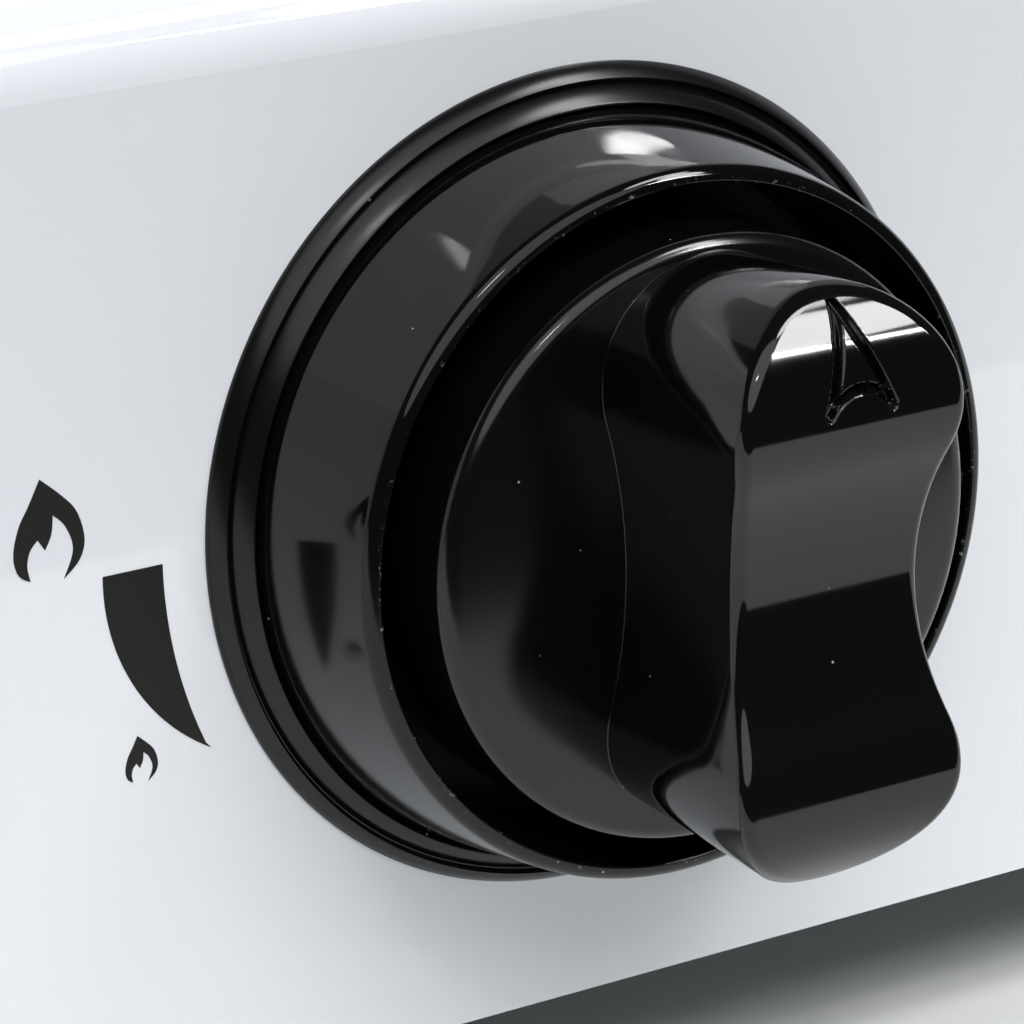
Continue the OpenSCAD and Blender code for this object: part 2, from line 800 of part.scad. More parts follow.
// Round wire wound on a helix between the plug and the collar
module tap_spring() color("gray") at_panel() {
    sides = spring_sides;
    rings = spring_turns * spring_rings_per_turn;
    rise = spring_len - spring_wire;
    wire = spring_wire / 2;
    pts = [for (i = [0:rings]) let (t = i / rings, a = 360 * spring_turns * t)
        for (s = [0:sides - 1]) let (b = 360 * s / sides, r = spring_r + wire * cos(b))
            [r * cos(a), r * sin(a), plug_d + wire + rise * t + wire * sin(b)]];
    walls = [for (i = [0:rings - 1], s = [0:sides - 1])
        let (a = i * sides + s, b = i * sides + (s + 1) % sides)
        each [[a + sides, b, a], [a + sides, b + sides, b]]];
    ends = [[for (s = [0:sides - 1]) s], [for (s = [sides - 1:-1:0]) rings * sides + s]];
    polyhedron(points = pts, faces = concat(walls, ends));
}

module tap_plug() color("goldenrod") at_panel() difference() {
    translate([0, 0, plug_end_d]) cylinder(r1 = plug_tip_r - run_gap, r2 = plug_r - run_gap, h = plug_len);
    translate([-tang_t / 2 - seat_gap, -tang_w / 2 - seat_gap, slot_floor_d])
        cube([tang_t + 2 * seat_gap, tang_w + 2 * seat_gap, plug_d - slot_floor_d + over]);
    rod(gas_way_r, plug_end_d - over, inlet_d);
    translate([0, 0, inlet_d]) rotate([90, 0, 0]) cylinder(r = gas_way_r, h = plug_r + over);
}

module tap_body() color("darkgoldenrod") at_panel() difference() {
    union() {
        rod(tap_flange_r, tap_d, tap_d - tap_flange_t);
        rod(tap_r, tap_d - tap_flange_t, tap_end_d);
        rod(jet_boss_r, tap_end_d, tap_end_d - jet_seat);
        translate([0, 0, inlet_d]) rotate([0, 90, 0]) cylinder(r = thread_r, h = boss_len);
    }
    rod(chamber_r, tap_d + over, plug_d);
    translate([0, 0, plug_end_d]) cylinder(r1 = plug_tip_r, r2 = plug_r, h = plug_len);
    rod(gas_way_r, plug_end_d + over, tap_end_d - over);
    rod(jet_thread_r + seat_gap, tap_end_d, tap_end_d - jet_seat - over);
    translate([0, 0, inlet_d]) rotate([0, 90, 0]) cylinder(r = gas_way_r, h = boss_len + over);
    translate([boss_len - socket_len, 0, inlet_d]) rotate([0, 90, 0])
        cylinder(r = pipe_r + seat_gap, h = socket_len + over);
    bonnet_screw_places() rod(small_screw_r + seat_gap, tap_d + over, tap_d - tap_flange_t + over);
}

// Plate between panel and tap, with two lugs for the panel screws and the lug of the stop
module tap_bonnet() color("silver") at_panel() difference() {
    lug = screw_r + bonnet_lug_w;
    union() {
        translate([0, 0, tap_d]) linear_extrude(bonnet_t) {
            circle(tap_flange_r);
            square([panel_screw_pitch, 2 * lug], center = true);
            panel_screw_places() circle(lug);
        }
        ring_sector(
            stop_in_r, chamber_r - stop_gap, tap_d - stop_len, tap_d + over,
            stop_at - stop_lug_a / 2, stop_at + stop_lug_a / 2);
    }
    rod(spindle_r + run_gap, tap_d - over, bonnet_d + over);
    panel_screw_places() rod(tap_drill_r, tap_d - over, bonnet_d + over);
    bonnet_screw_places() {
        rod(small_screw_r + seat_gap, tap_d - over, bonnet_d + over);
        translate([0, 0, bonnet_d - small_screw_r]) cylinder(
            r1 = small_screw_r + seat_gap, r2 = small_head_r + seat_gap, h = small_screw_r);
    }
}

module bonnet_screws() color("gray") at_panel() bonnet_screw_places() difference() {
    union() {
        rod(small_screw_r, bonnet_d - seat_gap, tap_d - tap_flange_t + 2 * over);
        translate([0, 0, bonnet_d - small_screw_r - seat_gap])
            cylinder(r1 = small_screw_r, r2 = small_head_r, h = small_screw_r);
    }
    translate([0, 0, bonnet_d - small_recess]) cross_recess(small_screw_r, recess_w * small_screw_r, over);
}

module panel_screws() color("silver") at_panel() panel_screw_places()
    translate([0, 0, bezel_floor]) pan_screw(screw_r, bezel_floor - tap_d + over);

module injector() color("gold") at_panel() difference() {
    union() {
        rod(jet_thread_r, tap_end_d - seat_gap, tap_end_d - jet_seat);
        hex_bar(jet_af, tap_end_d - jet_seat, tap_end_d - jet_seat - jet_hex_h);
        translate([0, 0, jet_end_d]) cylinder(r1 = jet_tip_r, r2 = jet_root_r, h = jet_nose);
    }
    rod(jet_bore_r, tap_end_d + over, jet_end_d + jet_web);
    rod(jet_hole_r, jet_end_d - over, tap_end_d);
}

// Route of the supply pipe: from the tap's side boss, round one bend, to the inlet stem
module pipe_route(r, extra) {
    x0 = boss_len - socket_len + seat_gap - extra;
    x1 = inlet_x - pipe_bend;
    y0 = pipe_y + pipe_bend;
    y1 = rear_y - stem_len + socket_len - seat_gap + extra;
    translate([x0, pipe_y, knob_z]) rotate([0, 90, 0]) cylinder(r = r, h = x1 - x0);
    translate([x1, y0, knob_z]) rotate(-90) rotate_extrude(angle = 90) translate([pipe_bend, 0]) circle(r);
    translate([inlet_x, y0, knob_z]) rotate([-90, 0, 0]) cylinder(r = r, h = y1 - y0);
}

module supply_pipe() color("silver") difference() {
    pipe_route(pipe_r, 0);
    pipe_route(pipe_r - pipe_wall, over);
}

// Places of the two pipe joints: z runs from the end of the threaded boss along the pipe
module pipe_joints() {
    translate([boss_len, pipe_y, knob_z]) rotate([0, 90, 0]) children();
    translate([inlet_x, rear_y - stem_len, knob_z]) rotate([90, 0, 0]) children();
}

module pipe_nuts() color("goldenrod") pipe_joints() difference() {
    hex_bar(pipe_nut_af, -nut_grip, olive_len + nut_shoulder);
    rod(thread_r + seat_gap, -nut_grip - over, olive_len);
    rod(pipe_r + hole_gap, 0, nut_len);
}

// Ring with a cone at each end, squeezed between the nut and the boss
module pipe_olives() color("gold") {
    bore = pipe_r + seat_gap;
    lip = pipe_r + olive_lip;
    land_0 = (olive_len - olive_land) / 2;
    land_1 = (olive_len + olive_land) / 2;
    pipe_joints() rotate_extrude() polygon([
        [bore, seat_gap], [lip, seat_gap], [olive_r, land_0], [olive_r, land_1],
        [lip, olive_len - seat_gap], [bore, olive_len - seat_gap]]);
}

// Stem through the rear wall, hexagon and hose tail with its lands
module inlet_nozzle() color("goldenrod") at_inlet() {
    hex_top = washer_t + inlet_hex_h;
    neck_r = tail_r - tail_step;
    pitch = tail_len / (tail_lands + 0.5);
    land = [[neck_r, 0], [tail_r, 0], [tail_r, pitch / 2], [neck_r, pitch]];
    difference() {
        union() {
            rod(thread_r, -stem_len, hex_top);
            hex_bar(inlet_af, washer_t, hex_top);
            rotate_extrude() polygon(concat(
                [[0, hex_top - over], [neck_r, hex_top - over]],
                [for (i = [0:tail_lands - 1], p = land) [p[0], hex_top + pitch * (i + 0.5) + p[1]]],
                [[0, inlet_reach]]));
        }
        rod(tail_r - tail_wall, -stem_len - over, inlet_reach + over);
        rod(pipe_r + seat_gap, -stem_len - over, socket_len - stem_len);
    }
}

module inlet_washer() color("silver") at_inlet() difference() {
    rod(inlet_af / 2 + washer_lap, 0, washer_t);
    rod(thread_r + hole_gap, -over, washer_t + over);
}

module inlet_locknut() color("silver") at_inlet() difference() {
    hex_bar(inlet_af, -sheet, -sheet - locknut_h);
    rod(thread_r + seat_gap, over, -sheet - locknut_h - over);
}

// Half section of the cup, from its middle to its open top
function cup_section(r, floor, top) = concat(
    [[0, floor]],
    arc([r - cup_round, floor + cup_round], cup_round, -90, 0),
    [[r, top], [0, top]]);

// Bell of the mixing tube: radius falls from its mouth to the straight tube
function bell(r, z0) = [for (i = [0:mouth_steps]) let (t = i / mouth_steps)
    [r + mouth_flare * pow(1 - t, 2), z0 + (mouth_len - z0) * t]];

// Casting in one piece: mixing tube with a bell mouth, cup and two fixing lugs
module burner_body() color("darkgray") difference() {
    lug_z = floor_z - sheet - lug_h;
    tube_r = tube_bore_r + tube_wall;
    union() {
        at_burner() {
            rotate_extrude($fn = fine) polygon(cup_section(cup_r, cup_floor_z - cup_wall, cup_top_z));
            for (s = [-1, 1]) {
                translate([s * lug_x, 0, 0]) rod(lug_r, lug_z, lug_z + lug_h);
                translate([min(0, s * lug_x), -lug_r / 2, lug_z]) cube([lug_x, lug_r, lug_h - lug_step]);
            }
        }
        at_mouth() rotate_extrude() polygon(concat(
            [[0, 0], [mouth_r + tube_wall, 0], [mouth_r + tube_wall, mouth_lip]],
            bell(tube_r, mouth_root),
            [[tube_r, tube_len], [0, tube_len]]));
    }
    at_burner() {
        rotate_extrude($fn = fine) polygon(cup_section(cup_in_r, cup_floor_z, cup_top_z + over));
        burner_screw_places() rod(tap_drill_r, over - sheet, lug_floor - lug_h - sheet);
    }
    at_mouth() rotate_extrude() polygon(concat(
        [[0, -over], [mouth_r, -over]],
        bell(tube_bore_r, 0),
        [[tube_bore_r, tube_len], [0, tube_len]]));
}

module burner_screws() color("silver") at_burner() burner_screw_places() pan_screw(screw_r, burner_screw_len);

// Crown with a spigot in the cup and a ring of flame ports
module burner_crown() color("lightgray") at_burner() difference() {
    spigot_in_r = spigot_r - spigot_wall;
    translate([0, 0, cup_top_z]) rotate_extrude($fn = fine) polygon([
        [spigot_in_r, -spigot_h], [spigot_r - spigot_edge, -spigot_h], [spigot_r, spigot_edge - spigot_h],
        [spigot_r, 0], [crown_r - crown_edge, 0], [crown_r, crown_edge],
        [crown_r, crown_foot_h - crown_step], [crown_r - crown_step, crown_foot_h],
        [crown_top_r, crown_h], [crown_in_r, crown_h], [crown_in_r, crown_foot_h],
        [spigot_in_r, crown_foot_h - crown_step]]);
    for (i = [0:port_count - 1]) rotate((i + 0.5) * 360 / port_count)
        translate([crown_in_r - port_in, -port_w / 2, cap_z - port_h]) cube([crown_r, port_w, port_h + over]);
}

// Domed cap with a spigot ring inside the crown
module burner_cap() color("black") {
    spigot_in_r = cap_spigot_r - cap_spigot_wall;
    at_burner() translate([0, 0, cap_z]) rotate_extrude($fn = fine) polygon(concat(
        [[0, cap_hollow], [spigot_in_r, cap_hollow], [spigot_in_r, -cap_spigot_h],
            [cap_spigot_r - cap_chamfer, -cap_spigot_h], [cap_spigot_r, cap_chamfer - cap_spigot_h],
            [cap_spigot_r, 0], [cap_r - cap_chamfer, 0], [cap_r, cap_chamfer]],
        arc([cap_r - cap_edge_r, cap_t - cap_edge_r], cap_edge_r, 0, cap_edge_a, 5),
        dome(cap_r - cap_edge_r, cap_t, cap_dome)));
}

module pan_ring(r) {
    translate([0, 0, floor_z + ring_rise]) rotate_extrude($fn = fine)
        translate([ring_r, 0]) circle(r, $fn = 32);
}

module pan_support_ring() color("black") at_burner() pan_ring(wire_r);

// One finger seen from the side: foot in the dish, upright, rounded shoulder and tapered arm
module finger_side() {
    arm_z = pan_z - tip_h;
    root_z = arm_z - arm_drop;
    polygon(concat(
        [[ring_r, floor_z], [leg_out_r, floor_z]],
        arc([leg_out_r - finger_round, pan_z - finger_round], finger_round, 0, 90),
        arc([tip_r + tip_round, pan_z - tip_round], tip_round, 90, 180, 4),
        arc([tip_r + tip_round, arm_z + tip_round], tip_round, 180, 270, 4),
        arc([ring_r - finger_round, root_z - finger_round], finger_round, 90, 0)));
}

module pan_support_fingers() color("black") at_burner() difference() {
    for (i = [0:finger_count - 1]) rotate((i + 0.5) * 360 / finger_count)
        translate([0, finger_t / 2, 0]) rotate([90, 0, 0]) linear_extrude(finger_t) finger_side();
    pan_ring(wire_r + seat_gap);
}

body_shell();
base_plate();
base_screws();
rubber_feet();
knob_bezel();
control_knob();
knob_clip();
tap_spindle();
tap_spring();
tap_plug();
tap_body();
tap_bonnet();
bonnet_screws();
panel_screws();
injector();
supply_pipe();
pipe_nuts();
pipe_olives();
inlet_nozzle();
inlet_washer();
inlet_locknut();
burner_body();
burner_screws();
burner_crown();
burner_cap();
pan_support_ring();
pan_support_fingers();
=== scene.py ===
# Looks of the single burner gas hob: finishes, fine pieces, printed signs, stage, light and camera.
import json
from math import asin, atan, atan2, copysign, cos, degrees, hypot, pi, radians, sin, sqrt

import bpy
from mathutils import Matrix, Quaternion, Vector


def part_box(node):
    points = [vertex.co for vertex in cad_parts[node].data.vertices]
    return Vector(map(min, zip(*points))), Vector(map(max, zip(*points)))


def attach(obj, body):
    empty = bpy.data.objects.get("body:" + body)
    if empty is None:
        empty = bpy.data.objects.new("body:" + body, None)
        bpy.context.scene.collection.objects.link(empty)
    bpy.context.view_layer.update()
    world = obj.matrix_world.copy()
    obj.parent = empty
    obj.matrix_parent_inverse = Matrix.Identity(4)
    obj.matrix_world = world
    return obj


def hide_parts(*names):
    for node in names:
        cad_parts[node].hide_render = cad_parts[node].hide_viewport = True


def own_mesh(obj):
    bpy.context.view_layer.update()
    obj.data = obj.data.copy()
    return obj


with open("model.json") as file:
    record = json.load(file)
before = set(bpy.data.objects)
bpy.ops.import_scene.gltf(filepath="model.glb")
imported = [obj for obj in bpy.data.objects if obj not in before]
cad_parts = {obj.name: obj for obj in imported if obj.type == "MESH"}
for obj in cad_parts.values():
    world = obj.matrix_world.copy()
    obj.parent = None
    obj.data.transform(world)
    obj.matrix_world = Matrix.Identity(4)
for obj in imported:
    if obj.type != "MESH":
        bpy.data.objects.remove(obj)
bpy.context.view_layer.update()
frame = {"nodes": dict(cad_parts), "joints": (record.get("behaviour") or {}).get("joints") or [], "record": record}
nodes = frame["nodes"]
joint = {j["name"]: j for j in frame["joints"]}
scene = bpy.context.scene

MM = 0.001

# The knob axis meets the front panel here
AXIS = Vector(joint["tap_turn"]["pos_m"])

# Bezel, in millimetres: radii about the knob axis, depths out of the panel
BEZEL_R = 30.0
BEZEL_H = 13.9
RIM_R = 25.5
RIM_W = 1.2
RIM_OUT_ROUND = 1.0
RIM_IN_ROUND = 0.2
BEZEL_FLOOR = 2.0
BEAD_SIDE = 0.25
OUTER_BEAD_W = 1.3
OUTER_BEAD_H = 1.35
INNER_BEAD_W = 1.2
INNER_BEAD_H = 2.3
BEAD_CROWN = 0.08
BEAD_TOP_W = 0.22
GROOVE_W = 0.35
GROOVE_D = 0.95
WALL_FOOT_R = 27.3
WALL_FOOT_D = 1.9
WALL_BOW = 0.06
WELL_DRAFT = 0.4
SPINDLE_HOLE_R = 9.0

# Knob, in millimetres: disc with skirt and hub, grip, and the pointer engraved in the grip's front
KNOB_R = 21.5
DISC_D = 17.2
DISC_DOME = 0.4
DOME_POWER = 4
DISC_EDGE_R = 1.1
SKIRT_D = 6.6
SKIRT_IN_R = 19.3
SKIRT_ROUND = 0.3
ROOF_D = 15.0
HUB_R = 7.5
HUB_D = 5.0
BORE_R = 4.03
BORE_END_D = 15.83
GRIP_WAIST = 7.4
GRIP_END_R = 9.0
GRIP_HALF = 21.35
SADDLE_D = 30.7
CREST_D = 33.9
CREST_OUT = 13.5
CREST_R = 9.8
GRIP_EDGE_R = 0.8
GRIP_FOOT_R = 0.08
FOOT_FADE = 1.5
FOOT_LEAST = 0.02
FOOT_DRAW = 0.75
LOW_DRAW = 0.9
DRAW_FROM = 12.0
POINTER_INSET = 1.0
POINTER_LEN = 6.8
POINTER_W = 5.0
POINTER_NOTCH = 1.5
POINTER_LINE = 0.95
POINTER_DEPTH = 0.75
POINTER_LEAN = 0.45

# Return spring of the tap, whose other sizes are those of its CAD node
SPRING_WIRE = 0.8
SPRING_TURNS = 4

# Printed signs: thickness of the ink, range wedge left of the bezel, and where the flames have their tips
INK_T = 0.04
WEDGE_TOP = 0.3
WEDGE_IN_R = 33.3
WEDGE_OUT_R = 37.86
WEDGE_MID = (-35.95, -7.84)
WEDGE_TIP = (-30.15, -13.69)
FLAME_PLACE = (-42.19, 8.04)
FLAME_SCALE = 0.99
SMALL_FLAME_PLACE = (-35.81, -11.58)
SMALL_FLAME_SCALE = 0.466

# Zones of the plastic's finish: radii about the knob axis, height over it and depths out of the panel
# Pale marks along the rim's edge: wear, and a painted highlight of the rim's rounded edge
RIM_WEAR_AND_HIGHLIGHT_FROM = 24.2
RIM_WEAR_AND_HIGHLIGHT_TO = 24.8
RIM_WEAR_AND_HIGHLIGHT_FADE = 0.2
WELL_SATIN_FROM = 24.4
WELL_SATIN_FULL = 24.0
BEAD_SATIN_FROM = 27.0
LOW_HAZE_FROM = 12.0
DISC_HAZE_FROM = 18.8
DISC_HAZE_FULL = 17.9

# Steps of round stretches, and angles in degrees between the points of the grip's outline
FINE_STEPS = 16
ROUND_STEPS = 8
WALL_STEPS = 12
BEZEL_SEGMENTS = 288
EDGE_STEPS = 8
FLANK_STEPS = 4
FOOT_STEPS = 6
DISC_STEPS = 36
SKIRT_STEPS = 4
FRONT_COLUMNS = 150
LOW_END_ANGLE = 2.5
WAIST_ANGLE = 0.8
HIGH_END_ANGLE = 1.5
POINTER_ANGLE = 0.6
POINTER_ANGLES_FROM = -8
WIRE_SIDES = 12
WIRE_RINGS = 48
CURVE_STEPS = 6
WEDGE_STEPS = 24

# Stage, in millimetres: the table, whose front edge is a little way in front of the panel
TABLE_FRONT = 140.0
TABLE_HALF = 1600.0
TABLE_BACK = 3200.0
TABLE_T = 30.0
TABLE_ROUND = 4.0

# World, and a camera placed in millimetres across, up and out of the panel from the knob axis
WORLD_COLOUR = (0.93, 0.97, 1.0, 1)
WORLD_STRENGTH = 0.05
CAMERA_PLACE = (-186.0, 114.8, 292.1)
CAMERA_YAW = radians(31.72)
CAMERA_PITCH = radians(18.71)
CAMERA_ROLL = radians(-1.26)
CAMERA_LENS = 181.2
CAMERA_SENSOR = 36.0
CAMERA_NEAR = 0.01
CAMERA_FAR = 100


def panel_point(x, up, d):
    """Point in the frame from millimetres across, up and out of the panel, from the knob axis."""
    return AXIS + Vector((x, -d, up)) * MM


def arc(centre, radius, start, end, steps):
    """Points on a circle, with angles in degrees."""
    turns = [radians(start + (end - start) * i / steps) for i in range(steps + 1)]
    return [(centre[0] + radius * cos(a), centre[1] + radius * sin(a)) for a in turns]


def arc_through(a, b, c, steps):
    """Points on the circle through a, b and c, from a to c."""
    ax, ay = a
    bx, by = b[0] - ax, b[1] - ay
    cx, cy = c[0] - ax, c[1] - ay
    twice = 2 * (bx * cy - by * cx)
    ux = (cy * (bx * bx + by * by) - by * (cx * cx + cy * cy)) / twice
    uy = (bx * (cx * cx + cy * cy) - cx * (bx * bx + by * by)) / twice
    start = degrees(atan2(-uy, -ux))
    end = degrees(atan2(cy - uy, cx - ux))
    end += 360 * round((start - end) / 360)
    return arc((ax + ux, ay + uy), hypot(ux, uy), start, end, steps)


def weighted(weights, points):
    """Sum of points in a plane, each times its weight."""
    return tuple(sum(w * p[n] for w, p in zip(weights, points)) for n in (0, 1))


def eased(before, start, end, after, steps):
    """Points between start and end on a curve that leaves and arrives along the neighbouring sides."""
    ax, ay = start[0] - before[0], start[1] - before[1]
    bx, by = end[0] - after[0], end[1] - after[1]
    cx, cy = end[0] - start[0], end[1] - start[1]
    reach = (cx * by - cy * bx) / (ax * by - ay * bx)
    corner = (start[0] + ax * reach, start[1] + ay * reach)
    points = []
    for i in range(1, steps):
        t = i / steps
        weights = ((1 - t) ** 2, 2 * t * (1 - t), t * t)
        points.append(weighted(weights, (start, corner, end)))
    return points


def smooth_step(low, high, x):
    """From 0 at low to 1 at high, level at both ends."""
    t = min(1, max(0, (x - low) / (high - low)))
    return t * t * (3 - 2 * t)


def add_mesh(name, points, faces, material):
    """Object with a mesh of one material."""
    mesh = bpy.data.meshes.new(name)
    mesh.from_pydata(points, [], faces)
    mesh.validate()
    mesh.materials.append(material)
    made = bpy.data.objects.new(name, mesh)
    scene.collection.objects.link(made)
    return made


def add_piece(name, points, faces, body, material, sharp=40):
    """Mesh piece on a CAD body, smooth apart from edges sharper than an angle in degrees."""
    piece = add_mesh(name, points, faces, material)
    piece.data.shade_smooth()
    piece.data.set_sharp_from_angle(angle=radians(sharp))
    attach(piece, body)
    return piece


# Node materials
class Surface:
    """A procedural material built round one Principled shader."""

    def __init__(self, name, **sockets):
        self.material = bpy.data.materials.new(name)
        self.material.use_nodes = True
        self.tree = self.material.node_tree
        self.tree.nodes.clear()
        self.output = self.tree.nodes.new("ShaderNodeOutputMaterial")
        self.shader = self.tree.nodes.new("ShaderNodeBsdfPrincipled")
        self.tree.links.new(self.shader.outputs[0], self.output.inputs["Surface"])
        for key, value in sockets.items():
            self.shader.inputs[key].default_value = value
        self.place = self.node("ShaderNodeTexCoord").outputs["Object"]

    def node(self, kind, **settings):
        """New node with its settings."""
        made = self.tree.nodes.new(kind)
        for key, value in settings.items():
            setattr(made, key, value)
        return made

    def feed(self, socket, value):
        """Sets a socket, or links it where the value is another socket."""
        if isinstance(value, bpy.types.NodeSocket):
            self.tree.links.new(value, socket)
        else:
            socket.default_value = value

    def math(self, operation, a, b, clamp=False):
        """Two values, each a number or a socket, put through an operation."""
        made = self.node("ShaderNodeMath", operation=operation, use_clamp=clamp)
        self.feed(made.inputs[0], a)
        self.feed(made.inputs[1], b)
        return made.outputs[0]

    def stretched(self, scale):
        """Object coordinates stretched by a factor on each axis."""
        made = self.node("ShaderNodeMapping")
        self.feed(made.inputs["Vector"], self.place)
        made.inputs["Scale"].default_value = scale
        return made.outputs[0]

    def noise(self, size_mm, detail=3.0, rough=0.5, place=None):
        """Noise from 0 to 1 with features of about a size."""
        made = self.node("ShaderNodeTexNoise")
        self.feed(made.inputs["Vector"], place or self.place)
        made.inputs["Scale"].default_value = 1 / (size_mm * MM)
        made.inputs["Detail"].default_value = detail
        made.inputs["Roughness"].default_value = rough
        return made.outputs["Fac"]

    def cells(self, size_mm, output):
        """Distance or colour of Voronoi cells of about a size."""
        made = self.node("ShaderNodeTexVoronoi")
        self.feed(made.inputs["Vector"], self.place)
        made.inputs["Scale"].default_value = 1 / (size_mm * MM)
        return made.outputs[output]

    def cell_values(self, size_mm):
        """Values from 0 to 1 that are chance in each Voronoi cell."""
        made = self.node("ShaderNodeSeparateColor")
        self.feed(made.inputs[0], self.cells(size_mm, "Color"))
        return made.outputs

    def span(self, value, low, high, to_low, to_high):
        """Value mapped from one span to another, smoothly and clamped."""
        made = self.node("ShaderNodeMapRange", interpolation_type="SMOOTHSTEP")
        self.feed(made.inputs["Value"], value)
        limits = {"From Min": low, "From Max": high, "To Min": to_low, "To Max": to_high}
        for key, limit in limits.items():
            made.inputs[key].default_value = limit
        return made.outputs["Result"]

    def zone(self, length, low_mm, high_mm, to_low, to_high):
        """Length in the frame mapped from a span in millimetres to another span."""
        return self.span(length, low_mm * MM, high_mm * MM, to_low, to_high)

    def mix(self, factor, a, b):
        """Colour a to colour b."""
        made = self.node("ShaderNodeMix", data_type="RGBA")
        self.feed(made.inputs["Factor"], factor)
        self.feed(made.inputs["A"], a)
        self.feed(made.inputs["B"], b)
        return made.outputs["Result"]

    def specks(self, size_mm, share, width):
        """Sparse dots: a share of the cells holds one, of a width given as a part of the cell."""
        core = 0.6 * width
        dot = self.span(self.cells(size_mm, "Distance"), core, width, 1, 0)
        chosen = self.math("GREATER_THAN", self.cell_values(size_mm)[0], 1 - share)
        return self.math("MULTIPLY", dot, chosen)

    def axis_radius(self):
        """Distance from the knob axis, in metres."""
        away = self.node("ShaderNodeVectorMath", operation="SUBTRACT")
        self.feed(away.inputs[0], self.place)
        away.inputs[1].default_value = AXIS
        flat = self.node("ShaderNodeVectorMath", operation="MULTIPLY")
        self.feed(flat.inputs[0], away.outputs[0])
        flat.inputs[1].default_value = (1, 0, 1)
        length = self.node("ShaderNodeVectorMath", operation="LENGTH")
        self.feed(length.inputs[0], flat.outputs[0])
        return length.outputs["Value"]

    def offset(self, axis):
        """Distance along X, Y or Z from where the knob axis meets the panel, in metres."""
        split = self.node("ShaderNodeSeparateXYZ")
        self.feed(split.inputs[0], self.place)
        return self.math("SUBTRACT", split.outputs[axis], AXIS["XYZ".index(axis)])

    def colour(self, value):
        """Sets or links the base colour."""
        self.feed(self.shader.inputs["Base Color"], value)

    def roughness(self, value):
        """Sets or links the roughness."""
        self.feed(self.shader.inputs["Roughness"], value)

    def bump(self, height, depth_mm):
        """Relief from a height of 0 to 1, with its real depth."""
        made = self.node("ShaderNodeBump")
        made.inputs["Strength"].default_value = 1.0
        made.inputs["Distance"].default_value = depth_mm * MM
        self.feed(made.inputs["Height"], height)
        self.feed(self.shader.inputs["Normal"], made.outputs[0])


def grey(value):
    """Opaque grey."""
    return (value, value, value, 1)


def white_enamel():
    """Gloss enamel with a faint ripple."""
    s = Surface("white_enamel", IOR=1.6)
    s.colour(s.mix(s.noise(60, 4), (0.76, 0.785, 0.835, 1), (0.795, 0.82, 0.865, 1)))
    s.roughness(s.span(s.noise(18, 4), 0.3, 0.7, 0.02, 0.035))
    s.bump(s.noise(2.2, 2), 0.0012)
    return s.material


def dusty_black(s, dust, dust_colour, rough):
    """Gives a surface black plastic with a faint ripple, and pale marks that are rough and raised: dust, and on
    the bezel also rim wear with a painted highlight.
    """
    tone = s.mix(s.noise(9), grey(0.0016), grey(0.0026))
    s.colour(s.mix(dust, tone, dust_colour))
    s.roughness(s.math("ADD", rough, s.math("MULTIPLY", dust, 0.5), clamp=True))
    s.bump(s.math("ADD", s.noise(3.5, 2), s.math("MULTIPLY", dust, 4)), 0.0012)


def black_plastic():
    """Plastic of the knob: glossy on the grip, hazier on the disc."""
    s = Surface("black_plastic", IOR=1.5)
    dust = s.math("MAXIMUM", s.specks(2.6, 0.12, 0.045), s.specks(1.1, 0.03, 0.06))
    smudge = s.span(s.noise(14, 5, 0.6), 0.45, 0.75, 0.06, 0.1)
    haze = s.zone(s.offset("Y"), -DISC_HAZE_FROM, -DISC_HAZE_FULL, 0, 0.15)
    dusty_black(s, dust, grey(0.32), s.math("MAXIMUM", smudge, haze))
    return s.material


def bezel_plastic():
    """Plastic of the bezel: worn at the rim with a painted highlight along the rim's edge, satin in the well and
    on the beads, hazy low on the wall.
    """
    s = Surface("bezel_plastic", IOR=1.41)
    radius = s.axis_radius()
    # Pale marks along the rim's edge, painted into the colour: wear, and the highlight of the rim's rounded edge
    past_well = s.zone(radius, RIM_WEAR_AND_HIGHLIGHT_FROM, RIM_WEAR_AND_HIGHLIGHT_FROM + RIM_WEAR_AND_HIGHLIGHT_FADE, 0, 1)
    before_wall = s.zone(radius, RIM_WEAR_AND_HIGHLIGHT_TO - RIM_WEAR_AND_HIGHLIGHT_FADE, RIM_WEAR_AND_HIGHLIGHT_TO, 1, 0)
    edge = s.math("MULTIPLY", past_well, before_wall)
    wear_and_highlight = s.math("MULTIPLY", edge, s.span(s.noise(0.8, 5, 0.7), 0.58, 0.68, 0, 1))
    outside = s.math("GREATER_THAN", radius, RIM_WEAR_AND_HIGHLIGHT_FROM * MM)
    dust = s.math("MULTIPLY", outside, s.specks(2.4, 0.1, 0.05))
    dust = s.math("MAXIMUM", dust, s.math("MULTIPLY", wear_and_highlight, 0.5))
    smudge = s.span(s.noise(14, 5, 0.6), 0.45, 0.75, 0.045, 0.075)
    haze = s.zone(s.offset("Z"), 0, LOW_HAZE_FROM, 0.13, 0)
    well = s.zone(radius, WELL_SATIN_FULL, WELL_SATIN_FROM, 0.55, 0)
    beads = s.zone(radius, BEAD_SATIN_FROM, WALL_FOOT_R, 0, 0.23)
    wall = s.math("MAXIMUM", smudge, haze)
    dusty_black(s, dust, grey(0.36), s.math("MAXIMUM", wall, s.math("MAXIMUM", well, beads)))
    return s.material


def sign_ink():
    """Satin printing ink with a fine tooth."""
    s = Surface("sign_ink", IOR=1.3)
    s.colour(s.mix(s.noise(0.5, 4), (0.010, 0.010, 0.0097, 1), (0.015, 0.015, 0.0145, 1)))
    s.roughness(s.span(s.noise(0.8), 0.3, 0.7, 0.34, 0.46))
    s.bump(s.noise(0.25), 0.003)
    return s.material


